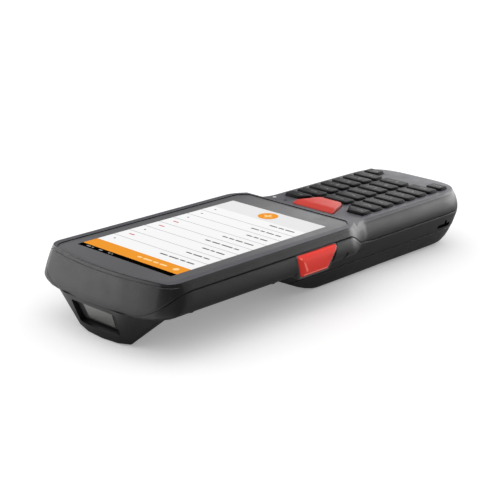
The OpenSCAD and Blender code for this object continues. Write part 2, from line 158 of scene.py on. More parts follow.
def loft(name, rings, strips=False):
    """Closed solid through rings of equal length, lowest or innermost ring first.
    With strips, the caps are bands between the mirrored right and left points."""
    n = len(rings[0])
    verts = [p for r in rings for p in r]
    faces = []
    for k in range(len(rings) - 1):
        for i in range(n):
            j = (i + 1) % n
            faces.append((k * n + i, k * n + j, (k + 1) * n + j, (k + 1) * n + i))
    top = (len(rings) - 1) * n
    if strips:
        for i in range(n // 2):
            quad = (i, i + 1, (n - i - 1) % n, (n - i) % n)
            band = list(dict.fromkeys(quad))
            faces.append(tuple(v + top for v in band))
            faces.append(tuple(reversed(band)))
    else:
        faces.append(tuple(range(top, top + n)))
        faces.append(tuple(reversed(range(n))))
    return add_mesh(name, verts, faces)


def outward(obj):
    """Makes the faces of a closed mesh point outwards."""
    bm = bmesh.new()
    bm.from_mesh(obj.data)
    bmesh.ops.recalc_face_normals(bm, faces=bm.faces)
    bm.to_mesh(obj.data)
    bm.free()
    return obj


def prism(name, outline, z0, z1):
    """Upright prism over a plan outline."""
    return outward(loft(name, [[(x, y, z0) for x, y in outline],
                               [(x, y, z1) for x, y in outline]]))


def x_prism(name, outline, x0, x1):
    """Prism along X over an outline of (y, z)."""
    return outward(loft(name, [[(x0, y, z) for y, z in outline],
                               [(x1, y, z) for y, z in outline]]))


def wall_prism(name, outline, side, near, far):
    """Prism along X through one side wall, from near to far off the middle."""
    return x_prism(name, outline, min(side * near, side * far), max(side * near, side * far))


def y_prism(name, outline, y0, y1):
    """Prism along Y over an outline of (x, z)."""
    return outward(loft(name, [[(x, y0, z) for x, z in outline],
                               [(x, y1, z) for x, z in outline]]))


def hull(name, points):
    """Convex solid round the points."""
    bm = bmesh.new()
    for p in points:
        bm.verts.new([c * MM for c in p])
    bmesh.ops.convex_hull(bm, input=bm.verts)
    loose = [v for v in bm.verts if not v.link_faces]
    bmesh.ops.delete(bm, geom=loose, context="VERTS")
    bmesh.ops.recalc_face_normals(bm, faces=bm.faces)
    mesh = bpy.data.meshes.new(name)
    bm.to_mesh(mesh)
    bm.free()
    return add_object(name, mesh)


def join(name, objects):
    """One object from several, materials kept."""
    mesh = bpy.data.meshes.new(name)
    verts, faces, index, mats = [], [], [], []
    for obj in objects:
        base = len(verts)
        slots = []
        for mat in obj.data.materials:
            if mat not in mats:
                mats.append(mat)
            slots.append(mats.index(mat))
        verts += [v.co for v in obj.data.vertices]
        for face in obj.data.polygons:
            faces.append([base + v for v in face.vertices])
            index.append(slots[face.material_index] if slots else 0)
    mesh.from_pydata(verts, [], faces)
    for mat in mats:
        mesh.materials.append(mat)
    mesh.polygons.foreach_set("material_index", index)
    mesh.update()
    for obj in objects:
        delete(obj)
    return add_object(name, mesh)


def hermite(points):
    """Smooth curve through (x, y) points, flat outside them."""
    xs = np.array([p[0] for p in points], float)
    ys = np.array([p[1] for p in points], float)
    slope = np.gradient(ys, xs)

    def at(x):
        x = np.clip(x, xs[0], xs[-1])
        i = np.clip(np.searchsorted(xs, x, side="right") - 1, 0, len(xs) - 2)
        h = xs[i + 1] - xs[i]
        t = (x - xs[i]) / h
        return ((2 * t**3 - 3 * t**2 + 1) * ys[i] + (t**3 - 2 * t**2 + t) * h * slope[i]
                + (3 * t**2 - 2 * t**3) * ys[i + 1] + (t**3 - t**2) * h * slope[i + 1])

    return at


def smooth(t):
    """Eases from 0 to 1 as t does."""
    t = np.clip(t, 0.0, 1.0)
    return t * t * (3 - 2 * t)


def mix(a, b, t):
    """The value at t on the way from a to b."""
    return a + (b - a) * t


# ---------------------------------------------------------------- body shape
FRONT_BOW = 0.004


def bowed_front(half_w, front, radius, arc_steps=8, steps=12):
    """Right half of a bowed front edge and its rounded corner."""
    turn = math.atan(2 * FRONT_BOW * (half_w - 0.8 * radius))
    start_x = half_w - radius + radius * math.sin(turn)
    centre_y = front - FRONT_BOW * start_x**2 - radius * math.cos(turn)
    path = [(x, front - FRONT_BOW * x * x)
            for x in np.linspace(0, start_x, arc_steps + 1)[:-1]]
    for a in np.linspace(turn, math.pi / 2, steps + 1):
        path.append((half_w - radius + radius * math.sin(a), centre_y + radius * math.cos(a)))
    return path


def tail_quarter(half_w, steps=30):
    """Right half of the tail, a quarter of a squared oval."""
    depth = TAIL_START - TAIL
    return [(half_w * math.sin(t) ** 0.5, TAIL_START - depth * max(math.cos(t), 0.0) ** 0.5)
            for t in np.linspace(math.pi / 2, 0, steps + 1)]


def half_body():
    """Right half of the top outline, from the middle of the front to the middle of the tail."""
    path = bowed_front(HEAD_HALF, HEAD_FRONT, 6.5)
    last_y = path[-1][1]
    path += [(HEAD_HALF, y) for y in np.linspace(last_y, NECK_FRONT, 24)[1:-1]]
    ys = list(np.arange(NECK_FRONT, HEAD_REAR + 1, -1.0))
    ys += list(np.arange(HEAD_REAR + 0.6, HEAD_REAR - 2.6, -0.2))
    ys += list(np.linspace(HEAD_REAR - 3, NECK_REAR, 11))
    for y in ys:
        t = (NECK_FRONT - y) / (NECK_FRONT - NECK_REAR)
        path.append((mix(HEAD_HALF, GRIP_HALF, float(smooth(t))), y))
    path += [(GRIP_HALF, y) for y in np.linspace(NECK_REAR, TAIL_START, 14)[1:-1]]
    return np.array(path + tail_quarter(GRIP_HALF))


def half_belly():
    """Right half of the belly's outline; its front end is a squared oval."""
    reach, power = 31.0, 5.0
    path = [(GRIP_HALF * math.sin(t) ** (2 / power), reach * max(math.cos(t), 0.0) ** (2 / power))
            for t in np.linspace(0, math.pi / 2, 25)]
    path += [(GRIP_HALF, y) for y in np.linspace(0, TAIL_START, 18)[1:-1]]
    return np.array(path + tail_quarter(GRIP_HALF))


def normals(path):
    """Unit normals that point out of a half outline."""
    d = np.zeros_like(path)
    d[1:-1] = path[2:] - path[:-2]
    d[0], d[-1] = (1, 0), (-1, 0)
    n = np.stack([-d[:, 1], d[:, 0]], 1)
    return n / np.linalg.norm(n, axis=1)[:, None]


BODY = half_body()
BELLY = half_belly()
BODY_N, BELLY_N = normals(BODY), normals(BELLY)

# How far each wall stands outside the top outline, by height
grip_curve = hermite([(0, -6.5), (1, -4.3), (3, -2.3), (5.5, -0.7), (9.2, 0.8), (12.5, 1.7),
                      (17, 2.5), (19, 2.4), (21.5, 1.9), (24, 1.1), (26.1, 0), (28.8, -1.7)])
side_curve = hermite([(13.5, -10), (13.9, -7.8), (14.6, -5.2), (15.6, -2.2), (16.6, 0.7),
                      (17.6, 2.3), (18.8, 2.95), (20, 3), (22, 2.7), (25, 1.8), (27.5, 0.7),
                      (28.8, 0)])
front_curve = hermite([(13.5, -1.5), (13.8, 0.6), (14.3, 2.4), (15.0, 3.6), (15.8, 4.0),
                       (17, 3.85), (20, 3.1), (24, 1.9), (27, 0.8), (28.8, 0)])
# Height of the parting line: by y - |x| round the front corners, by y along the neck
parting_front = hermite([(48, HEAD_PARTING), (51, 25.15), (56, 24.1), (63, 21.3), (70, 18),
                         (78, CREASE + 0.4), (86, CREASE)])
parting_neck = hermite([(-30, GRIP_PARTING), (-27, GRIP_PARTING + 0.2), (-22, 17.8),
                        (-16, 19.6), (-11.5, 21.7), (-7.5, 24.2), (-5.5, HEAD_PARTING)])


def head_share(y):
    """1 on the head and 0 on the grip, blended along the neck."""
    return smooth((y - NECK_REAR) / (NECK_FRONT - NECK_REAR))


# 1 where the outline faces forward and 0 along the sides
FACING = smooth(BODY_N[:, 1] / 0.25)


def lean(y, z, belly=False):
    """How far the wall stands outside the top outline, for arrays of y and z."""
    grip = grip_curve(z)
    grip = np.where(grip > 0, grip * (1 + 0.32 * smooth((-85 - y) / 10)), grip)
    if belly:
        return np.where(grip < 0, grip * (1 - 0.1 * smooth((y + 50) / 35)), grip)
    head = mix(side_curve(z), front_curve(z), FACING)
    return mix(grip, head, head_share(y))


def parting(x, y):
    """Height of the surface between the two housings."""
    t = y - np.abs(x)
    return np.where(y > 20, parting_front(t), parting_neck(y))


def top_z(y):
    """Height of the upper face: the rim on the head, the deck on the grip."""
    drop = smooth((HEAD_REAR - y) / 1.6)
    return RIM_Z - (RIM_Z - DECK_Z) * drop


def ring(path, normal, z, offset):
    """Closed ring of points from a right half outline; z and offset may vary along it."""
    z = np.broadcast_to(z, len(path))
    p = path + normal * np.broadcast_to(offset, len(path))[:, None]
    p[0, 0] = p[-1, 0] = 0.0
    right = [(p[i, 0], p[i, 1], z[i]) for i in range(len(path))]
    return right + [(-x, y, h) for x, y, h in right[-2:0:-1]]


def body_ring(z, inset=0.0):
    """Ring of the body, with its front corners drawn in to the slopes under the head.
    reach is how far a corner may stand out along the diagonal at each height."""
    z = np.broadcast_to(z, len(BODY)).astype(float)
    inset = np.broadcast_to(inset, len(BODY)).astype(float)
    points = np.array(ring(BODY, BODY_N, z, lean(BODY[:, 1], z) - inset))
    inset = np.concatenate([inset, inset[-2:0:-1]])
    x, y, z = np.abs(points[:, 0]), points[:, 1], points[:, 2]
    x = np.where(y > 86, np.minimum(x, HEAD_HALF + side_curve(z) - inset), x)
    reach = np.interp(z - inset, (13.5, 14.6, 16.2, 17.2, 18.6, 20),
                      (82, 88, 90.9, 92.6, 94.5, 99))
    over = (x + y) / math.sqrt(2) - reach
    drawn = np.where(over > -3, 0.5 * (over + np.sqrt(over * over + 0.3)) / math.sqrt(2), 0)
    right = np.where(points[:, 0] == 0, 0, np.sign(points[:, 0]) * (x - drawn))
    return [tuple(p) for p in np.column_stack([right, y - drawn, z])]


def belly_ring(z, inset=0.0):
    """Ring of the belly under the grip."""
    z = np.broadcast_to(z, len(BELLY))
    return ring(BELLY, BELLY_N, z, lean(BELLY[:, 1], z, True) - inset)


def wall_points():
    """Where the outer wall crosses the parting surface, per outline point."""
    z = np.full(len(BODY), 20.0)
    for _ in range(6):
        p = np.array(body_ring(z))[:len(BODY)]
        z = parting(p[:, 0], p[:, 1])
    return z


SEAM_Z = wall_points()


def seam_share(y):
    """The groove along the parting line fades out across the front face."""
    return 1 - 0.85 * smooth((y - 92) / 5)


# ---------------------------------------------------------------- plan outlines
def rounded(points, radius, steps=5):
    """Polygon with its corners rounded; radius may be one number or one per corner."""
    out = []
    n = len(points)
    for i in range(n):
        p = Vector(points[i])
        a, b = Vector(points[i - 1]) - p, Vector(points[(i + 1) % n]) - p
        r = radius[i] if isinstance(radius, (list, tuple)) else radius
        half = a.angle(b) / 2
        cut = min(r / math.tan(half), a.length * 0.48, b.length * 0.48)
        r = cut * math.tan(half)
        start, end = p + a.normalized() * cut, p + b.normalized() * cut
        centre = p + (a.normalized() + b.normalized()).normalized() * (r / math.sin(half))
        v0, v1 = start - centre, end - centre
        turn = v0.angle(v1)
        sign = 1 if v0.x * v1.y - v0.y * v1.x > 0 else -1
        for k in range(steps + 1):
            t = sign * turn * k / steps
            out.append((centre.x + v0.x * math.cos(t) - v0.y * math.sin(t),
                        centre.y + v0.x * math.sin(t) + v0.y * math.cos(t)))
    return out


def mirror_x(half):
    """Whole outline from its right half; points on the middle line aren't doubled."""
    return half + [(-x, y) for x, y in reversed(half) if x > 1e-6]


def panel_outline(extra=0.0):
    """Outline of the touch panel, grown by extra."""
    half_w, rear = PANEL_HALF + extra, -12 - extra
    path = bowed_front(half_w, 97.5 + extra, 6)
    corner_points = slice(6, 18)
    path += rounded([(half_w, 0), (half_w, -8), (half_w - 4, rear), (0, rear)],
                    [0.1, 3, 3, 0.1])[corner_points]
    return mirror_x(path)


def row_y(row):
    """Middle of a key row; rows count from the screen to the tail."""
    return KEY_FIRST_Y - KEY_LEN / 2 - row * KEY_PITCH_Y


# Each key is its middle, its width and the side its slant faces, in the order of the bodies
SLANTED_W, SMALL_W = 10.2, 8.0
SLANTED_X = KEY_PITCH_X + (KEY_W - SLANTED_W) / 2
SMALL_X = KEY_PITCH_X + (KEY_W - SMALL_W) / 2
KEYS = []
for side in (-1, 1):
    KEYS.append((side * SLANTED_X, row_y(0), SLANTED_W, side))
    KEYS += [(side * KEY_PITCH_X, row_y(r), KEY_W, 0) for r in range(1, 7)]
    KEYS.append((side * SMALL_X, row_y(7), SMALL_W, 0))
KEYS += [(0.0, row_y(r), KEY_W, 0) for r in range(1, 7)]


def key_outline(key, extra=0.0, steps=4):
    """Outline of one key; the first of each side column has a slanted inner end."""
    x, y, width, side = key
    w, l = width / 2 + extra, KEY_LEN / 2 + extra
    slant = 2.0 if side else 0.0
    flip = -1 if side < 0 else 1
    points = [(slant - w, l), (-slant - w, -l), (w, -l), (w, l)]
    radius = max(0.15, 1.1 + extra)
    shape = rounded(points, radius, steps)
    return [(x + flip * px, y + py) for px, py in (shape if flip > 0 else reversed(shape))]


def scan_key_outline(extra=0.0, front=0.0, steps=4):
    """Outline of the scan key; front moves its wide front edge back along the sloping sides."""
    def side_x(y):
        return 11.2 - 4.3 / 10.6 * max(0.0, -23.2 - y)

    front_y = -22 - front
    next_y = min(-23.2, front_y - 1.2)
    half = [(side_x(front_y) + extra, front_y + extra), (side_x(next_y) + extra, next_y),
            (6.9 + extra, -33.8), (6.9 - 1.2 + extra, -35 - extra)]
    points = half + [(-x, y) for x, y in reversed(half)]
    return rounded(points, [0.7, 0.7, 1, 1, 1, 1, 0.7, 0.7], steps)


def trigger_outline(extra=0.0, radius=0.8, steps=4):
    """Side outline of a trigger as (y, z), grown by extra."""
    s = extra * 1.3
    return rounded([(28.4 + s, 24.7 + extra), (26.6 + s, 16.2 - extra),
                    (11.1 - s, 16.2 - extra), (4.6 - s, 24.7 + extra)], radius, steps)


def circle(x, y, r, steps=24):
    """Outline of a circle."""
    return [(x + r * math.cos(2 * math.pi * k / steps), y + r * math.sin(2 * math.pi * k / steps))
            for k in range(steps)]


def box_outline(x0, y0, x1, y1):
    """Outline of an upright rectangle between two corners."""
    return [(x0, y0), (x1, y0), (x1, y1), (x0, y1)]


def bar(p, q, half_w, steps=4):
    """Bar with round ends from p to q, in the plane."""
    p, q = Vector(p), Vector(q)
    d = (q - p).normalized() * half_w
    n = Vector((-d.y, d.x))
    out = []
    for centre, sign in ((q, 1), (p, -1)):
        for k in range(steps + 1):
            a = math.pi * k / steps - math.pi / 2
            v = centre + sign * (d * math.cos(a) + n * math.sin(a))
            out.append((v.x, v.y))
    return out


# ---------------------------------------------------------------- front shell
def front_shell():
    """Upper housing: wall, bowed front with its fine groove, rim and keypad deck."""
    y = BODY[:, 1]
    top = top_z(y)
    share = head_share(y)
    front_share = smooth(BODY_N[:, 1] / 0.6)
    open_share = seam_share(y)
    low = SEAM_Z + SEAM * open_share
    ceiling = mix(24.5, 26.0, smooth((y + 12) / 6))
    rings = [body_ring(ceiling, WALL), body_ring(low, WALL)]
    for dz, inset in ((0, 0.32), (0.06, 0.1), (0.3, 0.0)):
        rings.append(body_ring(low + dz, inset * open_share))
    wall_top = top - 1.75
    for u in (0.1, 0.22, 0.36, 0.5, 0.64, 0.78, 0.9, 1.0):
        rings.append(body_ring(mix(low + 0.3, wall_top, u)))
    groove = ((-1.6, 0.0), (-1.48, 0.25), (-1.3, 0.25), (-1.18, 0.0))
    for dz, depth in groove:
        rings.append(body_ring(top + dz, depth * front_share * share))
    rim_edge = ((-0.6, 0.0), (-0.36, 0.04), (-0.18, 0.13), (-0.07, 0.25), (-0.02, 0.36), (0, 0.5))
    deck_edge = ((-0.6, 0.0), (-0.42, 0.03), (-0.22, 0.12), (-0.1, 0.24), (-0.03, 0.4), (0, 0.6))
    base = lean(y, top - 0.6)
    for (dz_a, in_a), (dz_b, in_b) in zip(deck_edge, rim_edge):
        z = top + mix(dz_a, dz_b, share)
        rings.append(ring(BODY, BODY_N, z, base - mix(in_a, in_b, share)))
    shell = outward(loft("front_shell", rings, strips=True))
    boolean(shell, prism("panel_seat", panel_outline(0.05), 27.2, 31))
    well = [(28.5, -6.5), (28.5, 90.5), (-28.5, 90.5), (-28.5, -6.5)]
    boolean(shell, prism("display_well", rounded(well, 1), 22, 27.6))
    holes = [prism("hole", key_outline(k, KEY_GAP), 22, 31) for k in KEYS]
    holes.append(prism("hole", scan_key_outline(KEY_GAP), 22, 31))
    for x in LAMPS_X:
        holes.append(prism("hole", circle(x, LAMPS_Y, LAMP_R), 22, 31))
    boolean(shell, join("holes", holes))
    port = box_outline(-4.75, 16.75, 4.75, 20.25)
    boolean(shell, y_prism("port", rounded(port, 0.9), -104, -96))
    return shell


# ---------------------------------------------------------------- rear shell
# Side view of the belly: its underside rises to the head along a soft ramp
RAMP_END = 32
RAMP = [(-FAR, 0), (-14, 0), (-9, 0.12), (-3, 0.7), (3, 1.9), (9, 3.8), (15, 6.1), (21, 8.8),
        (27, 11.5), (RAMP_END, 13.8), (RAMP_END, FAR), (-FAR, FAR)]


def sphere_points(x, y, z, r, rows=8, columns=16):
    """Points on a sphere."""
    points = []
    for i in range(rows + 1):
        a = math.pi * i / rows
        for j in range(columns):
            b = 2 * math.pi * j / columns
            points.append((x + r * math.sin(a) * math.cos(b), y + r * math.sin(a) * math.sin(b),
                           z + r * math.cos(a)))
    return points


def nose_wedge():
    """Scanning nose: a wedge with round edges, hulled over small spheres of (x, y, z, radius)."""
    points = []
    for side in (-1, 1):
        for x, y, z, r in ((16.2, 101, 17, 1), (13.6, 94.8, 2, 1), (27.5, 94.5, 14.4, 1),
                           (25, 86, 14, 1), (10, 72, 14.4, 1), (9, 89, 1.4, 1), (8, 95.8, 1.2, 1)):
            points += sphere_points(side * x, y, z, r)
    points += sphere_points(0, 96.3, 1, 1)
    return hull("nose", points)


def on_nose(x, y, z):
    """Point in the scanning face's frame: +Y out of the face, origin in the window."""
    a = math.radians(-NOSE_LEAN)
    return (WINDOW_MID[0] + x, WINDOW_MID[1] + y * math.cos(a) - z * math.sin(a),
            WINDOW_MID[2] + y * math.sin(a) + z * math.cos(a))


def nose_prism(name, outline, y0, y1):
    """Prism square to the scanning face, over an outline in that face."""
    return outward(loft(name, [[on_nose(x, y0, z) for x, z in outline],
                               [on_nose(x, y1, z) for x, z in outline]]))


RECESS = [(-12.3, 4.9), (-11.2, -4.9), (11.2, -4.9), (12.3, 4.9)]


def over_parting():
    """Everything over the parting surface in front of the neck."""
    xs, ys = np.linspace(-40, 40, 41), np.linspace(20, 110, 46)
    low = [(x, y, float(parting(x, y) - SEAM * seam_share(y))) for y in ys for x in xs]
    verts = low + [(x, y, 45.0) for x, y, _ in low]
    nx, ny, n = len(xs), len(ys), len(low)
    faces = []
    for j in range(ny - 1):
        for i in range(nx - 1):
            a = j * nx + i
            quad = (a, a + 1, a + nx + 1, a + nx)
            faces += [quad[::-1], tuple(v + n for v in quad)]
    edge = list(range(nx)) + [j * nx + nx - 1 for j in range(1, ny)]
    edge += [(ny - 1) * nx + i for i in range(nx - 2, -1, -1)]
    edge += [j * nx for j in range(ny - 2, 0, -1)]
    for a, b in zip(edge, edge[1:] + edge[:1]):
        faces.append((a, b, b + n, a + n))
    return outward(add_mesh("over", verts, faces))


def strap_slot(side):
    """Slot for a wrist strap: a long opening with a short upright one across it."""
    long_slot = rounded([(-88.2, 10.5), (-78.2, 10.5), (-78.2, 12.2), (-88.2, 12.2)], 0.7)
    cross_slot = rounded([(-85, 11), (-83.2, 11), (-83.2, 13.8), (-85, 13.8)], 0.6)
    return [wall_prism("strap_slot", outline, side, 23, 32) for outline in (long_slot, cross_slot)]


def underside_holes():
    """Speaker grille, seat of the rear camera's window and counterbores of the head's screws."""
    grille = [(i, j) for i in range(-2, 3) for j in range(-2, 3) if abs(i) + abs(j) < 4]
    holes = [prism("hole", circle(-14 + i * 2.2, 34 + j * 2.2, 0.65, 14), 12, 17)
             for i, j in grille]
    holes.append(prism("hole", circle(14, 38, 4.85, 40), 10, 14.75))
    for y in (82, 38):
        holes += [prism("hole", circle(side * 30.8, y, 2.1), 10, 16.3) for side in (-1, 1)]
    return join("holes", holes)


def rear_shell():
    """Lower housing: side walls, scanning nose, battery bay and the fixed part of the belly."""
    open_share = seam_share(BODY[:, 1])
    high = SEAM_Z - SEAM * open_share
    rings = []
    for dz, inset in ((0, 0.34), (0.06, 0.1), (0.3, 0.0)):
        rings.append(body_ring(high - dz, inset * open_share))
    for u in (0.07, 0.15, 0.24, 0.33, 0.42, 0.5, 0.58, 0.66, 0.73, 0.8, 0.86, 0.91, 0.95, 0.98, 1):
        rings.append(body_ring(mix(high - 0.3, HEAD_BOTTOM, u)))
    shell = outward(loft("rear_shell", rings, strips=True))
    rings = [belly_ring(COVER_SEAM + dz + 0.02, inset)
             for dz, inset in ((0, 0.34), (0.06, 0.12), (0.3, 0.0))]
    rings += [belly_ring(z, 0.01) for z in (10.2, 11, 11.8, 12.6, 13.2, 13.5)]
    rings.append(belly_ring(14.5, 1.2))
    belly = outward(loft("belly", rings, strips=True))
    boolean(belly, x_prism("ramp", RAMP, -60, 60), "INTERSECT")
    boolean(shell, belly, "UNION")
    nose = nose_wedge()
    boolean(nose, over_parting())
    boolean(shell, nose, "UNION")
    inner = outward(loft("inner", [body_ring(z, WALL) for z in (15.5, 16.5, 18, 20, 22, 24, 27)],
                         strips=True))
    boolean(shell, inner)
    bay = rounded([(21.5, -90), (21.5, -17.5), (-21.5, -17.5), (-21.5, -90)], 5)
    boolean(shell, prism("bay", bay, 8, 15.9))
    boolean(shell, nose_prism("recess", rounded(RECESS, 0.6), -3.06, 6))
    weld(shell)
    cavity = rounded([(-10.6, 4.6), (-10.6, -4.3), (10.6, -4.3), (10.6, 4.6)], 0.5)
    boolean(shell, nose_prism("cavity", cavity, -13, -2.5))
    for side in (-1, 1):
        boolean(shell, wall_prism("trigger_opening", trigger_outline(1.2, 1.6), side, 28, 41))
        for cutter in strap_slot(side):
            boolean(shell, cutter)
        slit = bar((0.5, 16.9), (-1.4, 19.7), 0.36)
        boolean(shell, wall_prism("slit", slit, side, 31.2, 40))
    boolean(shell, underside_holes())
    return shell


def battery_door():
    """Battery cover: the belly's lower skin, with an opening for its latch."""
    levels = [(0, 0), (0.1, 0), (0.3, 0), (0.6, 0), (1, 0), (1.6, 0), (2.3, 0), (3.2, 0), (4.3, 0),
              (5.5, 0), (6.8, 0), (8.1, 0), (8.6, 0), (8.86, 0.05), (8.98, 0.18), (9.04, 0.42)]
    door = outward(loft("battery_door", [belly_ring(z, inset) for z, inset in levels],
                        strips=True))
    boolean(door, x_prism("ramp", RAMP, -60, 60), "INTERSECT")
    skin = 1.8
    inner = outward(loft("inner", [belly_ring(z, skin) for z in (skin, 2.5, 3.5, 5.5, 7.5, 10)],
                         strips=True))
    raised = [(y, z + skin) for y, z in RAMP[:-2]] + RAMP[-2:]
    boolean(inner, x_prism("ramp", raised, -60, 60), "INTERSECT")
    boolean(door, inner)
    latch_hole = rounded([(8, -21), (-8, -21), (-8, -29.5), (8, -29.5)], 1)
    boolean(door, prism("latch", latch_hole, -1, 3))
    return door


# ---------------------------------------------------------------- materials
def material(name, color, rough=0.5, *, grain=900.0, depth=0.02, mottle=0.06, coat=0.0,
             coat_rough=0.2, metallic=0.0, specular=0.5, emission=0.0):
    """Moulded plastic, metal or glass: colour mottling, fine grain bump, uneven roughness."""
    mat = bpy.data.materials.new(name)
    mat.use_nodes = True
    nodes, links = mat.node_tree.nodes, mat.node_tree.links
    bsdf = nodes["Principled BSDF"]
    coords = nodes.new("ShaderNodeTexCoord")

    def noise(scale, detail):
        n = nodes.new("ShaderNodeTexNoise")
        n.inputs["Scale"].default_value = scale
        n.inputs["Detail"].default_value = detail
        links.new(coords.outputs["Object"], n.inputs["Vector"])
        return n.outputs["Fac"]

    def remap(value, low, high):
        n = nodes.new("ShaderNodeMapRange")
        n.inputs["From Min"].default_value = 0.3
        n.inputs["From Max"].default_value = 0.7
        n.inputs["To Min"].default_value = low
        n.inputs["To Max"].default_value = high
        links.new(value, n.inputs["Value"])
        return n.outputs["Result"]

    tint = nodes.new("ShaderNodeMix")
    tint.data_type = "RGBA"
    tint.inputs["A"].default_value = (*[c * (1 - mottle) for c in color], 1)
    tint.inputs["B"].default_value = (*[min(1, c * (1 + mottle)) for c in color], 1)
    links.new(noise(45.0, 3.0), tint.inputs["Factor"])
    links.new(tint.outputs["Result"], bsdf.inputs["Base Color"])
    links.new(remap(noise(160.0, 2.0), rough - 0.04, rough + 0.04), bsdf.inputs["Roughness"])
    bump = nodes.new("ShaderNodeBump")
    bump.inputs["Strength"].default_value = depth
    bump.inputs["Distance"].default_value = 0.0002
    links.new(noise(grain, 2.0), bump.inputs["Height"])
    links.new(bump.outputs["Normal"], bsdf.inputs["Normal"])
    bsdf.inputs["Metallic"].default_value = metallic
    bsdf.inputs["Specular IOR Level"].default_value = specular
    bsdf.inputs["Coat Weight"].default_value = coat
    bsdf.inputs["Coat Roughness"].default_value = coat_rough
    if emission:
        bsdf.inputs["Emission Color"].default_value = (*color, 1)
        bsdf.inputs["Emission Strength"].default_value = emission
    return mat


def lit_ink(name, color, rough=0.5, mottle=0.01):
    """Colour of the lit picture: it glows and doesn't mirror."""
    return material(name, color, rough, depth=0.0, mottle=mottle, emission=0.75, specular=0.0)


SHELL = material("shell_plastic", (0.009, 0.009, 0.009), 0.40, grain=2600, depth=0.3,
                 mottle=0.08, specular=0.38)
# Paler grey for the up-facing faces of the front shell: painted light from above, not a different
# plastic.
PAINTED_TOP_LIGHT = material("deck_plastic", (0.062, 0.062, 0.072), 0.45, grain=2600, depth=0.3,
                mottle=0.05, specular=0.45)
KEY = material("key_plastic", (0.007, 0.007, 0.008), 0.42, grain=1800, depth=0.15, mottle=0.08,
               specular=0.11)
# This red glows a little: painted light standing in for fill light on the triggers, which face the
# dark side; the battery latch shares it.
SELF_LIT_RED = material("red_plastic", (0.50, 0.030, 0.022), 0.42, grain=1500, depth=0.08, mottle=0.05,
               specular=0.14, emission=0.60)
FRAME = material("trigger_frame", (0.080, 0.080, 0.082), 0.50, grain=2600, depth=0.3,
                 mottle=0.08, specular=0.4)
SCAN_RED = material("scan_red", (0.50, 0.045, 0.034), 0.42, grain=1500, depth=0.08, mottle=0.05,
                    specular=0.2)
# Paler, glowing red for the trigger's front and lower bevels: a painted highlight.
RED_PAINTED_HIGHLIGHT = material("red_edge_painted_highlight", (0.62, 0.12, 0.09), 0.38, grain=1500, depth=0.08, mottle=0.05,
                    specular=0.22, emission=0.6)
BORDER = material("panel_border", (0.083, 0.083, 0.087), 0.46, grain=600, depth=0.01,
                  mottle=0.03, specular=0.34)
WHITE = lit_ink("picture_white", (0.45, 0.45, 0.45))
FOOTER = lit_ink("picture_grey", (0.395, 0.395, 0.395))
ORANGE = lit_ink("picture_orange", (0.430, 0.160, 0.017), mottle=0.03)
PALE_ORANGE = lit_ink("picture_pale_orange", (0.50, 0.34, 0.16), mottle=0.05)
BLACK = material("picture_black", (0.001, 0.001, 0.001), 0.6, depth=0.0, mottle=0.1,
                 specular=0.0)
INK = material("picture_ink", (0.05, 0.05, 0.055), 0.6, depth=0.0, mottle=0.2, specular=0.1)
LINE = lit_ink("picture_line", (0.24, 0.25, 0.26), 0.6, mottle=0.05)
MARK_RED = material("picture_red", (0.50, 0.10, 0.11), 0.6, depth=0.0, mottle=0.2,
                    specular=0.0)
LEGEND = material("legend", (0.20, 0.205, 0.205), 0.5, depth=0.05, mottle=0.15)
DARK = material("matt_black", (0.008, 0.008, 0.009), 0.6, grain=1500, depth=0.1, mottle=0.2)
GLASS = material("window_glass", (0.10, 0.10, 0.092), 0.16, depth=0.0, mottle=0.1, coat=0.8,
                 coat_rough=0.06)
BOARD = material("circuit_board", (0.01, 0.10, 0.045), 0.35, grain=700, depth=0.3, mottle=0.3)
METAL = material("sheet_metal", (0.55, 0.56, 0.58), 0.32, grain=500, depth=0.08, mottle=0.05,
                 metallic=1.0)
SCREW = material("dark_steel", (0.05, 0.05, 0.052), 0.45, grain=700, depth=0.08, metallic=0.6)
GOLD = material("contact_gold", (0.75, 0.52, 0.18), 0.25, grain=900, depth=0.05, metallic=1.0)
RUBBER = material("silicone_mat", (0.075, 0.075, 0.08), 0.75, grain=1200, depth=0.2)
FILM = material("flex_film", (0.42, 0.16, 0.03), 0.3, grain=400, depth=0.05, mottle=0.15)
PACK = material("battery_wrap", (0.022, 0.026, 0.038), 0.38, grain=800, depth=0.1)
LAMP_DARK = material("lamp_dark", (0.012, 0.012, 0.015), 0.4, depth=0.0, specular=0.3)
LAMP_CLEAR = material("lamp_clear", (0.60, 0.63, 0.61), 0.3, depth=0.0, coat=0.3)


def dress(obj, mat, slot, body, *nodes, angle=35.0):
    """Material, shading, body and replaced nodes of one piece; the record slot is not used."""
    if not obj.data.materials:
        cover(obj, mat)
    shade(obj, angle)
    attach(obj, body)
    if nodes:
        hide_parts(*nodes)
    return obj


# ---------------------------------------------------------------- shells in place
def paint_top_light(shell):
    """Paints the upper face of the housing paler than its walls, as painted light from above; on
    the deck its rounded edge gets it too, as a painted edge highlight.
    """
    cover(shell, SHELL, PAINTED_TOP_LIGHT)
    for face in shell.data.polygons:
        # Faces turned up get the paler grey as painted light; on the deck the limit is lower, so
        # its rounded edge shows a painted highlight.
        steepest = 0.35 if face.center.y < -14 * MM else 0.80
        painted_light_face = face.normal.z > steepest and face.center.z > 25.0 * MM
        face.material_index = 1 if painted_light_face else 0
    return shell


dress(paint_top_light(front_shell()), SHELL, "deck_plastic", "housing", "front_housing", angle=32)
dress(rear_shell(), SHELL, "shell_plastic", "housing", "rear_housing", angle=32)
dress(battery_door(), SHELL, "shell_plastic", "battery_cover", "battery_cover", angle=32)


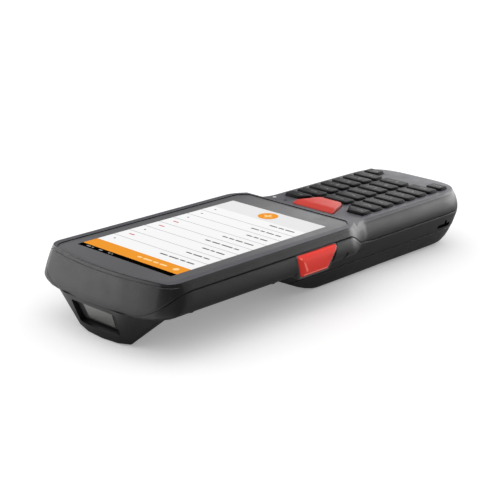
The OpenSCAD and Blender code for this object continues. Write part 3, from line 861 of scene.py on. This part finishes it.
# ---------------------------------------------------------------- touch panel and picture
def touch_glass():
    """Cover glass with its printed border; levels are height and inset."""
    levels = ((PANEL_Z - PANEL_THICK, 0.0), (PANEL_Z - 0.22, 0.0), (PANEL_Z - 0.08, -0.05),
              (PANEL_Z, -0.2))
    rings = [[(x, y, z) for x, y in panel_outline(extra)] for z, extra in levels]
    return outward(loft("touch_glass", rings))


dress(touch_glass(), BORDER, "panel_glass", "housing", "touch_panel")


def flat_shape(outline, z, thick, mat):
    """Thin printed shape."""
    return cover(prism("flat", outline, z, z + thick), mat)


def picture():
    """A generic list screen: bars, rules and dashes, with no lettering."""
    half = SCREEN_W / 2
    z, thick = PANEL_Z + 0.005, 0.02
    top = z + thick
    edges = (SCREEN_Y - SCREEN_LEN / 2, SCREEN_Y - 31, SCREEN_Y + 33, SCREEN_Y + 40.3,
             SCREEN_Y + SCREEN_LEN / 2)
    shapes = []
    for y0, y1, mat in zip(edges, edges[1:], (FOOTER, WHITE, ORANGE, BLACK)):
        shapes.append(flat_shape(box_outline(-half, y0, half, y1), z, thick, mat))

    def mark(outline, mat):
        shapes.append(flat_shape(outline, top, 0.015, mat))

    def dashes(x, y, words, height, mat):
        """A row of dashes, one for each length in words."""
        for length in words:
            mark(bar((x + height / 2, y), (x + length - height / 2, y), height / 2, 2), mat)
            x += length + 0.45

    for dy in (24.5, 16.5, 8.3, 0.3, -7.7, -15.7, -23.7):
        mark(box_outline(-half, SCREEN_Y + dy - 0.2, half, SCREEN_Y + dy + 0.2), LINE)
    rows = ((28, (4.2, 3.1, 5.5, 4.4)), (20, (3.4, 5.0, 3.3)), (12, (4.6, 2.5, 4.0)),
            (4, (3.0, 6.1, 4.6, 3.3)), (-4, (5.2, 4.1, 3.0, 3.1)), (-12, (4.2, 2.9, 3.4)),
            (-20, (3.3, 4.4, 2.7, 4.6)), (-28, (5.1, 3.2, 4.4)))
    for index, (dy, words) in enumerate(rows):
        dashes(-22.5, SCREEN_Y + dy, words, 0.85, INK)
        colour, length = (MARK_RED, 3.4) if index in (1, 3, 4) else (INK, 1.2)
        dashes(22.2 - length, SCREEN_Y + dy, (length,), 0.8, colour)
    title_y, status_y, button_y = SCREEN_Y + 36.6, SCREEN_Y + 41.7, SCREEN_Y - 37
    dashes(-17, title_y, (4.0, 3.1, 4.9, 2.8), 1.2, PALE_ORANGE)
    mark(circle(-21.7, title_y, 1.3), PALE_ORANGE)
    for x, words in ((7, (1.0, 1.4)), (13, (2.2,)), (18, (1.2, 2.6))):
        dashes(x, status_y, words, 0.9, LEGEND)
    mark(circle(0, button_y, 4.3, 40), ORANGE)
    across = bar((-1.7, button_y), (1.7, button_y), 0.5)
    along = bar((0, button_y - 1.7), (0, button_y + 1.7), 0.5)
    shapes.append(flat_shape(across, top + 0.015, 0.01, PALE_ORANGE))
    shapes.append(flat_shape(along, top + 0.015, 0.012, PALE_ORANGE))
    return join("picture", shapes)


dress(picture(), WHITE, "display", "housing")


# ---------------------------------------------------------------- keys
# Digits are drawn with seven strokes, a to g, on a cell of one unit by one
SEGMENTS = {"0": "abcdef", "1": "bc", "2": "abged", "3": "abgcd", "4": "fgbc", "5": "afgcd",
            "6": "afgedc", "7": "abc", "8": "abcdefg", "9": "abcdfg"}
CORNERS = {"a": ((0, 1), (1, 1)), "b": ((1, 1), (1, 0.5)), "c": ((1, 0.5), (1, 0)),
           "d": ((0, 0), (1, 0)), "e": ((0, 0), (0, 0.5)), "f": ((0, 0.5), (0, 1)),
           "g": ((0, 0.5), (1, 0.5))}
DIGIT_KEYS = {4: "1", 19: "2", 12: "3", 5: "4", 20: "5", 13: "6", 6: "7", 21: "8", 14: "9",
              22: "0"}


def legend(index, x, y, z):
    """Small generic marks on a key: a digit on ten keys, bars and dots on the others."""
    height, width, stroke, thick = 1.7, 0.95, 0.14, 0.015
    shapes = []
    number = index + 1

    def mark(outline):
        shapes.append(flat_shape(outline, z, thick, LEGEND))

    if number in DIGIT_KEYS:
        for s in SEGMENTS[DIGIT_KEYS[number]]:
            (ax, ay), (bx, by) = CORNERS[s]
            a = (x + (ax - 0.5) * width - 1.6, y + (ay - 0.5) * height)
            b = (x + (bx - 0.5) * width - 1.6, y + (by - 0.5) * height)
            mark(bar(a, b, stroke, 2))
        for k in range(3):
            start = x + 0.6 + k * 1.1
            mark(bar((start, y), (start + 0.5, y), 0.16, 2))
    else:
        for k in range(1 + number % 3):
            start = x - 1.4 + k * 1.3
            mark(bar((start, y - 0.3), (start + 0.7, y - 0.3), 0.2, 2))
        mark(circle(x - 2.4, y + 0.2, 0.42, 10))
    return shapes


def key_cap(index, key):
    """One key with its flange, domed top and legend; levels are height and inset."""
    levels = [(FLANGE_Z, 0.6), (FLANGE_TOP, 0.6), (FLANGE_TOP, 0.0), (KEY_TOP - 0.42, -0.05),
              (KEY_TOP - 0.27, -0.1), (KEY_TOP - 0.15, -0.2), (KEY_TOP - 0.07, -0.36),
              (KEY_TOP - 0.03, -0.7), (KEY_TOP - 0.012, -1.5)]
    rings = []
    for z, extra in levels:
        rings.append([(x, y, z) for x, y in key_outline(key, extra)])
    cap = cover(outward(loft("cap", rings)), KEY)
    shapes = [cap] + legend(index, key[0], key[1], KEY_TOP - 0.02)
    return join(f"key_cap_{index + 1}", shapes)


for index, key in enumerate(KEYS):
    body = f"key_{index + 1}"
    dress(key_cap(index, key), KEY, "key_plastic", body, body, angle=50)


def scan_cap():
    """Scan key with a wide bevel along its front edge; levels are height, inset and bevel."""
    levels = [(FLANGE_Z, 0.6, 0), (FLANGE_TOP, 0.6, 0), (FLANGE_TOP, 0, 0), (26.25, 0, 0),
              (26.42, -0.04, 0.12), (26.62, -0.07, 0.45), (27.3, -0.15, 2.0), (27.46, -0.27, 2.4),
              (27.56, -0.5, 2.8), (27.6, -0.9, 3.3)]
    rings = []
    for z, extra, front in levels:
        rings.append([(x, y, z) for x, y in scan_key_outline(extra, front)])
    return outward(loft("scan_key_cap", rings))


dress(scan_cap(), SCAN_RED, "red_plastic", "scan_key", "scan_key", angle=50)


# ---------------------------------------------------------------- side triggers
def bulge(x, z):
    """Trigger faces follow the rounded wall: drawn in above and below its widest line."""
    return x - TRIGGER_BULGE * (z - WALL_WIDEST_Z) ** 2 * smooth((x - 33.6) / 2)


def trigger_cap(side):
    """Trigger with a rounded face; its front and lower bevels carry a painted highlight in a
    paler, glowing red.
    """
    levels = [(33.4, 0.0), (36.9, 0.0), (37.2, -0.05), (37.42, -0.18), (37.62, -0.45),
              (37.78, -0.8), (37.84, -1.15), (37.88, -1.5), (37.9, -2.2)]
    rings = [[(side * bulge(x, z), y, z) for y, z in trigger_outline(extra, 0.45)]
             for x, extra in levels]
    cap = cover(outward(loft("trigger_cap", rings)), SELF_LIT_RED, RED_PAINTED_HIGHLIGHT)
    for face in cap.data.polygons:
        x, y, z = face.center / MM
        # Bevel faces that face forward or lie low get the painted highlight.
        highlight_bevel = 37.63 < abs(x) + TRIGGER_BULGE * (z - WALL_WIDEST_Z) ** 2 < 37.83
        face.material_index = 1 if highlight_bevel and (face.normal.y > 0.02 or z < 18.2) else 0
    return cap


def trigger_frame(side):
    """Raised frame round a trigger, cut off under the parting line."""
    levels = [(31.8, 1.1), (35.9, 1.15), (36.7, 1.1), (37.1, 1.0), (37.26, 0.86), (37.3, 0.7)]
    rings = [[(side * bulge(x, z), y, z) for y, z in trigger_outline(extra, 1.5)]
             for x, extra in levels]
    frame_piece = outward(loft("trigger_frame", rings))
    above = box_outline(-10, HEAD_PARTING - SEAM, 50, 30)
    for outline in (trigger_outline(0.22, 1.0), above):
        boolean(frame_piece, wall_prism("cutter", outline, side, 30, 40))
    return frame_piece


for side, word in ((-1, "left"), (1, "right")):
    cap = trigger_cap(side)
    cap.name = f"trigger_cap_{word}"
    dress(cap, SELF_LIT_RED, "red_plastic", f"trigger_{word}", f"trigger_{word}", angle=50)
    surround = trigger_frame(side)
    surround.name = f"trigger_frame_{word}"
    dress(surround, FRAME, "shell_plastic", "housing", f"trigger_bezel_{word}")


# ---------------------------------------------------------------- scan window
def window_pane():
    """Scan window: a dark surround at the bottom of the recess and the glass in it."""
    frame_shape = [(-11.9, 4.6), (-10.9, -4.5), (10.9, -4.5), (11.9, 4.6)]
    glass_shape = [(-8.1, 3.7), (-7.3, -3.4), (7.3, -3.4), (8.1, 3.7)]
    surround = cover(nose_prism("surround", rounded(frame_shape, 0.5), -2.4, -1.5), DARK)
    glass = cover(nose_prism("glass", rounded(glass_shape, 0.5), -1.6, -1.35), GLASS)
    return join("window_pane", [surround, glass])


dress(window_pane(), DARK, "window_glass", "housing", "scan_window")

# ---------------------------------------------------------------- carried-over nodes
CARRIED = {
    "display_module": WHITE, "display_flex": FILM, "mid_frame": METAL, "main_board": BOARD,
    "rf_shield": METAL, "wifi_antenna": GOLD, "scan_engine": DARK, "scan_lens": GLASS,
    "keypad_mat": RUBBER, "keypad_board": BOARD, "trigger_switch_left": BOARD,
    "trigger_switch_right": BOARD, "battery_pack": PACK, "battery_contacts": GOLD,
    "speaker": DARK, "vibration_motor": METAL, "microphone": METAL, "camera_module": DARK,
    "camera_window": GLASS, "usb_connector": SCREW, "card_socket": METAL,
    "scan_led_lens": LAMP_DARK, "charge_led_lens": LAMP_CLEAR, "housing_screws": SCREW,
    "board_screws": METAL, "battery_latch": SELF_LIT_RED,
}
for node, mat in CARRIED.items():
    cover(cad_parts[node], mat)

# ---------------------------------------------------------------- stage and light
def seen_only(tree, socket, seen, unseen):
    """Gives a socket one value for what the camera sees and another for light and mirroring."""
    path = tree.nodes.new("ShaderNodeLightPath")
    choice = tree.nodes.new("ShaderNodeMix")
    choice.inputs["A"].default_value = unseen
    choice.inputs["B"].default_value = seen
    tree.links.new(path.outputs["Is Camera Ray"], choice.inputs["Factor"])
    tree.links.new(choice.outputs["Result"], socket)
    return choice


def glow_ahead(tree, socket, near, far, strength):
    """Gives a socket a value that rises from 0 to strength, near to far metres off the nose."""
    place = tree.nodes.new("ShaderNodeTexCoord")
    ahead = tree.nodes.new("ShaderNodeVectorMath")
    ahead.operation = "DOT_PRODUCT"
    ahead.inputs[1].default_value = (0.25, 0.97, 0.0)
    tree.links.new(place.outputs["Object"], ahead.inputs[0])
    glow = tree.nodes.new("ShaderNodeMapRange")
    glow.inputs["From Min"].default_value = near
    glow.inputs["From Max"].default_value = far
    glow.inputs["To Max"].default_value = strength
    tree.links.new(ahead.outputs["Value"], glow.inputs["Value"])
    tree.links.new(glow.outputs["Result"], socket)


def pale_floor():
    """Plain floor that the camera sees as white; the object gets light from the part ahead."""
    mat = material("floor", (0.86, 0.86, 0.86), 0.7, grain=60, depth=0.0, mottle=0.01,
                   specular=0.1)
    size, z = 6000, -0.02
    corners = [(-size, -size, z), (size, -size, z), (size, size, z), (-size, size, z)]
    plane = cover(add_mesh("floor", corners, [(0, 1, 2, 3)]), mat)
    tree = mat.node_tree
    bsdf = tree.nodes["Principled BSDF"]
    bsdf.inputs["Emission Color"].default_value = (1, 1, 1, 1)
    glow_choice = seen_only(tree, bsdf.inputs["Emission Strength"], 0.26, 0.0)
    glow_ahead(tree, glow_choice.inputs["A"], 0.098, 0.118, 1.1)
    for link in list(bsdf.inputs["Base Color"].links):
        tree.links.remove(link)
    seen_only(tree, bsdf.inputs["Base Color"], 0.86, 0.45)
    return plane


floor = pale_floor()

world = bpy.data.worlds.new("world")
world.use_nodes = True
background = world.node_tree.nodes["Background"]
background.inputs["Color"].default_value = (1, 1, 1, 1)
seen_only(world.node_tree, background.inputs["Strength"], 1.0, 0.14)
bpy.context.scene.world = world
bpy.context.scene.view_settings.view_transform = "Standard"


def limit_light(obj, on_floor):
    """Lets a light reach only the floor, or everything but the floor."""
    group = bpy.data.collections.new(obj.name + "_reach")
    group.objects.link(floor)
    group.collection_objects[0].light_linking.link_state = "INCLUDE" if on_floor else "EXCLUDE"
    obj.light_linking.receiver_collection = group


LIGHT_AWAY = 0.8
LIGHT_AIM = Vector((0, 0, 0.02))


def softbox(name, azimuth, height, width, length, power):
    """Soft light aimed at the object; the azimuth turns from +Y towards +X."""
    light = bpy.data.lights.new(name, "AREA")
    light.shape = "RECTANGLE"
    light.size, light.size_y = width, length
    light.energy = power
    obj = add_object(name, light)
    a, b = math.radians(azimuth), math.radians(height)
    out = Vector((math.sin(a) * math.cos(b), math.cos(a) * math.cos(b), math.sin(b)))
    obj.location = out * LIGHT_AWAY
    obj.visible_camera = False
    aim = LIGHT_AIM - obj.location
    obj.rotation_euler = aim.to_track_quat("-Z", "Y").to_euler()
    limit_light(obj, False)


softbox("front_left", 38, 12, 0.56, 0.34, 2.4)
softbox("left", 90, 12, 0.40, 0.34, 3.0)
softbox("rear_left", 152, 18, 0.24, 0.26, 0.5)
softbox("top", 0, 90, 0.45, 0.45, 6.0)
softbox("rear", 182, 12, 0.40, 0.34, 2.9)
softbox("rear_right", 207, 6, 0.16, 0.15, 1.6)
softbox("rear_high", 172, 45, 0.45, 0.45, 0.4)

sky = bpy.data.lights.new("sky", "SUN")
sky.energy = 2.7
sky.angle = math.radians(150)
limit_light(add_object("sky", sky), True)
